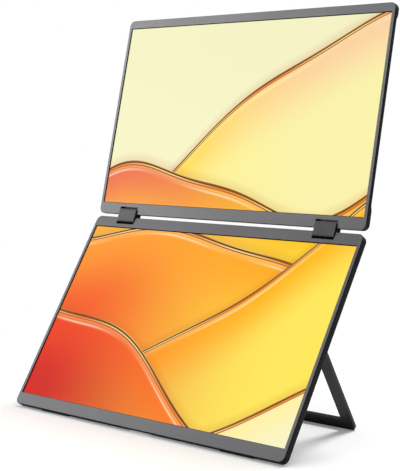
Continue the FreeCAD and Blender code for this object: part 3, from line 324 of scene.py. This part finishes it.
def moulded(name, dark, light, roughness, scale=1400.0, depth=0.00003, sheen=0.35):
    """Fine spark-eroded plastic."""
    t = new_material(name)
    fine = t.noise(t.object_coordinates(), scale, detail=3.0, roughness=0.6)
    colour = t.mix(t.spread(t.drift(12.0)), dark, light)
    rough = t.spread(fine, roughness - 0.05, roughness + 0.07)
    return t.surface(colour, rough, metallic=0.0, normal=t.bump(fine, depth, strength=0.5),
                     Specular_IOR_Level=sheen)


def shell(name, panel):
    """Rear cover: fine-grained charcoal back. Its duller sides are painted near black, darker than
    the back, as painted shade.
    """
    t = new_material(name)
    fine = t.noise(t.object_coordinates(), scale=1500.0, detail=3.0, roughness=0.6)
    back = t.ramp(t.facing(panel["through"]), *SHELL_BACK)
    grey = t.mix(t.spread(t.drift(10.0)), SHELL_DARK, SHELL_LIGHT)
    grey = t.mix(t.times(t.ramp(fine, 0.35, 0.7), SPECK_SHARE), grey, SPECK_GREY)
    # Painted shade: the sides near black, the back lighter.
    colour = t.mix(back, SHELL_SHADED_SIDES, grey)
    return t.surface(colour, t.spread(fine, 0.42, 0.55), metallic=0.0,
                     normal=t.bump(fine, 0.00003, strength=0.5),
                     Specular_IOR_Level=t.ramp(back, 0.0, 1.0, 0.12, 0.45))


ROLLED = (0.0004, 0.004, 0.004)         # size of the steel's grain along each axis


def steel(name, light, dark, roughness):
    """Rolled or ground steel, with its grain along one direction."""
    t = new_material(name)
    grain = t.noise(t.mapped(stretch=ROLLED), scale=1.0, detail=3.0, roughness=0.6)
    colour = t.mix(t.ramp(grain, *GRAIN_SPAN), dark, light)
    rough = t.ramp(grain, *GRAIN_SPAN, roughness - 0.06, roughness + 0.08)
    return t.surface(colour, rough, metallic=0.95, normal=t.bump(grain, 0.00001, strength=0.3))


# Wallpaper: broad glassy ribbons that flow across both displays, from cream down to deep red.
# Each ribbon: crest height, climb per metre, two waves as (height, length, offset in lengths),
# its colours (crest left and right, foot left and right), and how deep it shades.
RIBBONS = (
    (0.322, 0.42, ((0.040, 0.62, 0.06), (0.006, 0.21, 0.30)),
     ("ffe11a", "fbcfa0", "fff07e", "faf2ac"), 0.075),
    (0.258, 0.20, ((0.046, 0.52, 0.52), (0.006, 0.19, 0.10)),
     ("ee6e52", "ffc400", "ffb63c", "ffe548"), 0.080),
    (0.176, -0.22, ((0.034, 0.66, 0.18), (0.007, 0.24, 0.62)),
     ("ff9d2e", "ffab12", "f4571a", "ffd93c"), 0.095),
    (0.128, 0.50, ((0.036, 0.48, 0.80), (0.005, 0.17, 0.25)),
     ("ff7a1e", "ffb600", "e2300c", "ffe75a"), 0.085),
    (0.040, -0.30, ((0.030, 0.58, 0.42), (0.005, 0.20, 0.55)),
     ("f0440f", "ff8a1e", "d21c08", "ffb43c"), 0.080),
    (0.002, 0.36, ((0.020, 0.55, 0.70), (0.004, 0.22, 0.35)),
     ("ffd24a", "fff0a0", "f9f2bc", "f8f4c4"), 0.050),
)
LEFT_TO_RIGHT = (-0.16, 0.14)           # where the left colours pass into the right ones
SKY_LOW, SKY_TOP, SKY_HEIGHTS = "f8f4c8", "f4f2c4", (0.25, 0.44)
CREST_SOFT = 0.0003                     # half the width of each crest's edge
SHADE, SHADE_REACH, SHADE_SHARE = "c8601c", 0.012, 0.22     # that each crest casts above itself
GLOW, GLOW_REACH, GLOW_SHARE = "ffe89a", 0.014, 0.4         # that it throws into its ribbon
PINK, PINK_RIBBON, PINK_X = "e83aa8", 2, 0.030
PINK_REACH, PINK_SHARE, PINK_DEPTH = 0.035, 0.75, (0.001, 0.006)
# Lines along a crest: from and to below it, colour, and colour where the rim turns from the light.
CREST_LINES = ((0.0000, 0.0010, "e8c45a", "6a3a08"), (0.0010, 0.0028, "2e1202", "7c3406"),
               (0.0028, 0.0042, "ffdc92", "e88a24"), (0.0042, 0.0052, "8a3c06", "c4560e"))
LINE_OUT, LINE_IN, LINE_SHARE = 0.0004, 0.0002, 0.95        # how far each line fades
RIM_WAVES, RIM_SHIFT = 38.0, 1.7        # radians per metre across, and from ribbon to ribbon
ARC, ARC_SHARE = "fff6d0", 0.6          # bright arc inside each crest
ARC_AT, ARC_ABOVE, ARC_BELOW = 0.0092, 0.0008, 0.0026
PANEL_GAP_SHOWN = 0.0034                # between the two displays


def crest_height(t, x, middle, climb, waves):
    """Height of a ribbon's upper edge."""
    level = t.math("MULTIPLY_ADD", x, climb, middle)
    for height, length, offset in waves:
        turn = t.math("MULTIPLY_ADD", x, math.tau / length, math.tau * offset)
        level = t.math("MULTIPLY_ADD", t.math("SINE", turn), height, level)
    return level


def ribbon_colour(t, number, x, below, right, colours, depth):
    """Colour inside a ribbon at a distance below its crest. right tells left from right."""
    crest_left, crest_right, foot_left, foot_right = colours
    crest = t.mix(right, crest_left, crest_right)
    foot = t.mix(right, foot_left, foot_right)
    colour = t.mix(t.ramp(below, 0.0, depth), crest, foot)
    colour = t.mix(t.ramp(below, 0.0, GLOW_REACH, GLOW_SHARE, 0.0), colour, GLOW)
    if number == PINK_RIBBON:
        aside = t.math("ABSOLUTE", t.math("SUBTRACT", x, PINK_X))
        tint = t.times(t.ramp(aside, 0.0, PINK_REACH, PINK_SHARE, 0.0),
                       t.ramp(below, *PINK_DEPTH, 1.0, 0.0))
        colour = t.mix(tint, colour, PINK)
    swell = t.math("SINE", t.math("MULTIPLY_ADD", x, RIM_WAVES, RIM_SHIFT * number))
    swell = t.math("MULTIPLY_ADD", swell, 0.5, 0.5)
    arc = t.band(below, (ARC_AT - ARC_ABOVE, ARC_AT), (ARC_AT, ARC_AT + ARC_BELOW))
    colour = t.mix(t.times(t.times(arc, swell), ARC_SHARE), colour, ARC)
    for start, end, lit, turned in CREST_LINES:
        line = t.band(below, (start - LINE_OUT, start + LINE_IN), (end - LINE_IN, end + LINE_OUT))
        colour = t.mix(t.times(line, LINE_SHARE), colour, t.mix(swell, lit, turned))
    return colour


def wallpaper(t, x, z):
    """Colour of the picture, across and up from the lower display's bottom edge."""
    right = t.ramp(x, *LEFT_TO_RIGHT)
    colour = t.mix(t.ramp(z, *SKY_HEIGHTS), SKY_LOW, SKY_TOP)
    for number, (middle, climb, waves, colours, depth) in enumerate(RIBBONS):
        below = t.math("SUBTRACT", crest_height(t, x, middle, climb, waves), z)
        ribbon = ribbon_colour(t, number, x, below, right, colours, depth)
        colour = t.mix(t.ramp(below, -SHADE_REACH, 0.0, 0.0, SHADE_SHARE), colour, SHADE)
        colour = t.mix(t.ramp(below, -CREST_SOFT, CREST_SOFT), colour, ribbon)
    return colour


PICTURE_MARGIN = 0.002          # glass beyond the picture
PICTURE_SKIN = 0.0003           # the picture shows on faces this near the glass's front
PICTURE_RIM, SCREEN_BLACK = "000000", "070708"


def display(name, panel, rise):
    """Lit matte display: the picture glows inside a black rim, under a faint anti-glare sheen.

    rise is how far the display's bottom edge lies above the lower display's in the picture.
    """
    t = new_material(name)
    split = t.node("ShaderNodeSeparateXYZ")
    t.feed(split.inputs[0], t.flat(panel))
    x, y, z = split.outputs
    low, high = panel["glass"]
    inside = t.math("LESS_THAN", t.math("ABSOLUTE", x), HALF_GLASS - PICTURE_MARGIN)
    inside = t.times(inside, t.math("GREATER_THAN", z, low + PICTURE_MARGIN))
    inside = t.times(inside, t.math("LESS_THAN", z, high - PICTURE_MARGIN))
    inside = t.times(inside, t.math("LESS_THAN", y, panel["glass_front"] + PICTURE_SKIN))
    picture = t.mix(inside, PICTURE_RIM, wallpaper(t, x, t.math("ADD", z, rise)))
    sparkle = t.noise(t.object_coordinates(), scale=5200.0, detail=1.0)
    return t.surface(SCREEN_BLACK, t.spread(sparkle, 0.34, 0.46), metallic=0.0,
                     normal=t.bump(sparkle, 0.000004, strength=0.4),
                     Emission_Color=picture, Emission_Strength=1.0, Specular_IOR_Level=0.05)


def dress_nodes():
    """A material for every CAD node."""
    sides, levels = ("left", "right"), ("lower", "upper")
    upper_rise = LOWER["height"] + PANEL_GAP_SHOWN
    paint(["lower_front_bezel"], bezel_metal("lower_bezel_grey", LOWER, "5a5a5d", "505053", 0.45))
    # Painted light: the upper bezel's copy of the grey is painted lighter than the lower's, and
    # has more sheen.
    paint(["upper_front_bezel"], bezel_metal("upper_bezel_grey_painted_lighter", UPPER, "606063", "565659", 0.8))
    paint(["lower_display_glass"], display("lower_picture", LOWER, 0.0))
    paint(["upper_display_glass"], display("upper_picture", UPPER, upper_rise))
    paint(["lower_rear_cover"], shell("lower_cover_black", LOWER))
    paint(["upper_rear_cover"], shell("upper_cover_black", UPPER))
    paint([f"{side}_hinge_{half}_cover" for side in sides for half in ("front", "rear")],
          link_metal("hinge_grey", "454447", "3a393c"))

    paint(["stand_frame"],
          moulded("stand_blue_grey", "191d21", "202529", 0.42, scale=1800.0, depth=0.00002))
    paint(["desk_pads", "stand_foot_pad"],
          moulded("rubber", "101011", "161617", 0.75, scale=900.0, depth=0.00004))
    paint(["power_button", "menu_rocker"], moulded("key_black", "1b1c1e", "232427", 0.4))
    paint(["main_board", "upper_driver_board", "key_switch_board"],
          moulded("board_green", "0f3d22", "155230", 0.4))
    paint(["board_chips", "driver_chips", "left_speaker", "right_speaker"],
          moulded("chip_black", "141415", "1d1d1f", 0.6))
    paint(["lower_display_cable"], moulded("cable_tan", "7a4a18", "96602a", 0.45))
    paint(["stand_washers"], moulded("washer_white", "c8c8c2", "d8d8d2", 0.5))

    paint([f"{level}_backlight_tray" for level in levels],
          steel("tray_steel", "b8b8ba", "8f8f92", 0.35))
    screws = [f"{level}_{what}_screws" for level in levels for what in ("cover", "hinge")]
    paint(screws + ["hinge_cover_screws"], steel("screw_black", "3a3a3d", "28282a", 0.38))
    paint(["usb_c_sockets", "mini_hdmi_socket"], steel("socket_steel", "c4c4c6", "9c9c9f", 0.3))
    plates = [f"{side}_{what}" for side in sides
              for what in ("bearing_plates", "friction_washers", "stand_clevis")]
    plates += [f"{side}_{level}_hinge_bracket" for side in sides for level in levels]
    paint(plates, steel("plate_steel", "a8a8aa", "808083", 0.4))
    pins = [f"{side}_{level}_{what}" for side in sides for level in levels
            for what in ("hinge_shaft", "idler_gear")]
    paint(pins + ["stand_pins"], steel("pin_steel", "c0c0c2", "98989b", 0.28))


# Black cross plates on the screw heads: painted shade standing for cross recesses, too fine for
# the solids.
ARM, HALF_WIDTH = 0.00085, 0.00019
RECESS_PROUD = 0.00004          # above the head, and as much below it
RECESS_TURN = 48.0              # degrees from one recess to the next
HEAD_SKIN = 0.00002             # depth in which a solid's top points belong to the screw head
CROSS = ((ARM, HALF_WIDTH), (HALF_WIDTH, HALF_WIDTH), (HALF_WIDTH, ARM),
         (-HALF_WIDTH, ARM), (-HALF_WIDTH, HALF_WIDTH), (-ARM, HALF_WIDTH),
         (-ARM, -HALF_WIDTH), (-HALF_WIDTH, -HALF_WIDTH), (-HALF_WIDTH, -ARM),
         (HALF_WIDTH, -ARM), (HALF_WIDTH, -HALF_WIDTH), (ARM, -HALF_WIDTH))
SAME_POINT = 1e-6


def islands(name):
    """Vertex positions of each separate solid of a CAD node."""
    mesh = bmesh.new()
    mesh.from_mesh(nodes[name].data)
    bmesh.ops.remove_doubles(mesh, verts=mesh.verts, dist=SAME_POINT)
    found, seen = [], set()
    for start in mesh.verts:
        if start in seen:
            continue
        group, queue = [], [start]
        seen.add(start)
        while queue:
            vertex = queue.pop()
            group.append(vertex.co.copy())
            for edge in vertex.link_edges:
                other = edge.other_vert(vertex)
                if other not in seen:
                    seen.add(other)
                    queue.append(other)
        found.append(group)
    mesh.free()
    return found


def paint_recess_shade(name, node, body, axes, material):
    """Thin black cross plate on every screw head of a node: painted shade in place of its cross
    slot. The heads face along through.
    """
    across, up, out = Vector((1, 0, 0)), axes["up"], axes["through"]
    vertices, faces = [], []
    count = len(CROSS)
    for number, group in enumerate(islands(node)):
        top = max(point.dot(out) for point in group)
        head = [point for point in group if point.dot(out) > top - HEAD_SKIN]
        middle = sum(head, Vector()) / len(head) + out * RECESS_PROUD
        turn = math.radians(RECESS_TURN * number)
        u = across * math.cos(turn) + up * math.sin(turn)
        v = up * math.cos(turn) - across * math.sin(turn)
        outline = [middle + u * x + v * y for x, y in CROSS]
        first = len(vertices)
        upper, lower = range(first, first + count), range(first + count, first + 2 * count)
        vertices += outline + [point - out * RECESS_PROUD * 2 for point in outline]
        faces += [list(upper), list(reversed(lower))]
        for i in range(count):
            after = (i + 1) % count
            faces.append([upper[i], lower[i], lower[after], upper[after]])
    mesh = bpy.data.meshes.new(name)
    mesh.from_pydata([tuple(vertex) for vertex in vertices], [], faces)
    mesh.validate()
    piece = bpy.data.objects.new(name, mesh)
    scene.collection.objects.link(piece)
    mesh.materials.append(material)
    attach(piece, body)


BEVEL_ANGLE = 40                # degrees between faces, from which an edge is rounded


def soften(names, width):
    """Small rounding of the edges that the light catches."""
    for name in names:
        bevel = nodes[name].modifiers.new("soft_edges", "BEVEL")
        bevel.width = width
        bevel.segments = 2
        bevel.limit_method = "ANGLE"
        bevel.angle_limit = math.radians(BEVEL_ANGLE)


FLOOR_HALF = 8.0
FLOOR_GREY = 0.80
FLOOR_LIFT = 0.15               # white added to what the camera sees of the floor
FLOOR_FADE = (0.15, 0.60)       # metres from the object: shadows show inside, plain white outside


def make_floor():
    """Pale desk that shows white to the camera and keeps the object's shadow."""
    mesh = bpy.data.meshes.new("floor")
    corners = ((-1, -1), (1, -1), (1, 1), (-1, 1))
    mesh.from_pydata([(x * FLOOR_HALF, y * FLOOR_HALF, 0) for x, y in corners], [], [(0, 1, 2, 3)])
    floor = bpy.data.objects.new("floor", mesh)
    scene.collection.objects.link(floor)
    t = new_material("floor_white")
    lit = t.first_output("ShaderNodeBsdfDiffuse", (FLOOR_GREY, FLOOR_GREY, FLOOR_GREY, 1))
    lift = t.first_output("ShaderNodeEmission", (1, 1, 1, 1), FLOOR_LIFT)
    white = t.first_output("ShaderNodeEmission", (1, 1, 1, 1), 1.0)
    both = t.first_output("ShaderNodeAddShader", lit, lift)
    reach = t.node("ShaderNodeVectorMath", operation="LENGTH")
    t.feed(reach.inputs[0], t.object_coordinates())
    seen = t.shader_mix(t.ramp(reach.outputs["Value"], *FLOOR_FADE), both, white)
    mesh.materials.append(t.finish(t.by_ray(lit, seen)))


LIT_GREY, LIT_STRENGTH = 0.8, 0.55      # light that the surroundings give


def make_world():
    """White surroundings for the camera, and a plain level of light for the rest."""
    t = Tree(bpy.data.worlds.new("studio"), "ShaderNodeOutputWorld")
    lit = t.first_output("ShaderNodeBackground", (LIT_GREY, LIT_GREY, LIT_GREY, 1), LIT_STRENGTH)
    shown = t.first_output("ShaderNodeBackground", (1, 1, 1, 1), 1.0)
    scene.world = t.finish(t.by_ray(lit, shown))


# Each lamp: name, place, the point it looks at, width and height, and power in watts.
LAMPS = (
    ("key", (-0.45, -1.10, 1.50), (0.0, 0.0, 0.20), (1.0, 1.0), 6),
    ("side", (-1.10, -0.64, 0.70), (-0.1, 0.0, 0.25), (0.4, 0.9), 7),
    ("fill", (1.00, -1.40, 1.20), (0.0, 0.0, 0.20), (1.0, 1.0), 3),
    ("top", (0.10, 0.62, 1.45), (0.0, -0.05, 0.0), (0.45, 0.45), 16),
    ("rear", (0.30, 1.60, 0.90), (0.0, 0.0, 0.20), (1.2, 0.6), 6),
)


def make_lamp(name, place, target, size, power):
    """Soft rectangular lamp that looks at a point."""
    data = bpy.data.lights.new(name, "AREA")
    data.shape = "RECTANGLE"
    data.size, data.size_y = size
    data.energy = power
    lamp = bpy.data.objects.new(name, data)
    lamp.location = place
    lamp.rotation_euler = (Vector(target) - Vector(place)).to_track_quat("-Z", "Y").to_euler()
    scene.collection.objects.link(lamp)


make_camera()
dress_nodes()

# Black cross plates on the screw heads: painted shade standing for their cross slots.
recess_shade = moulded("recess_painted_shade", "050506", "08080a", 0.6, sheen=0.1)
paint_recess_shade("lower_screw_recess_shade", "lower_cover_screws", "lower_display", LOWER, recess_shade)
paint_recess_shade("upper_screw_recess_shade", "upper_cover_screws", "upper_display", UPPER, recess_shade)
paint_recess_shade("link_screw_recess_shade", "hinge_cover_screws", "hinge_links", LINK_AXES, recess_shade)

soften(["stand_frame"], width=0.0004)
soften(["stand_foot_pad", "power_button", "menu_rocker"], width=0.00015)

make_floor()
make_world()
for lamp in LAMPS:
    make_lamp(*lamp)

scene.view_settings.view_transform = "Standard"
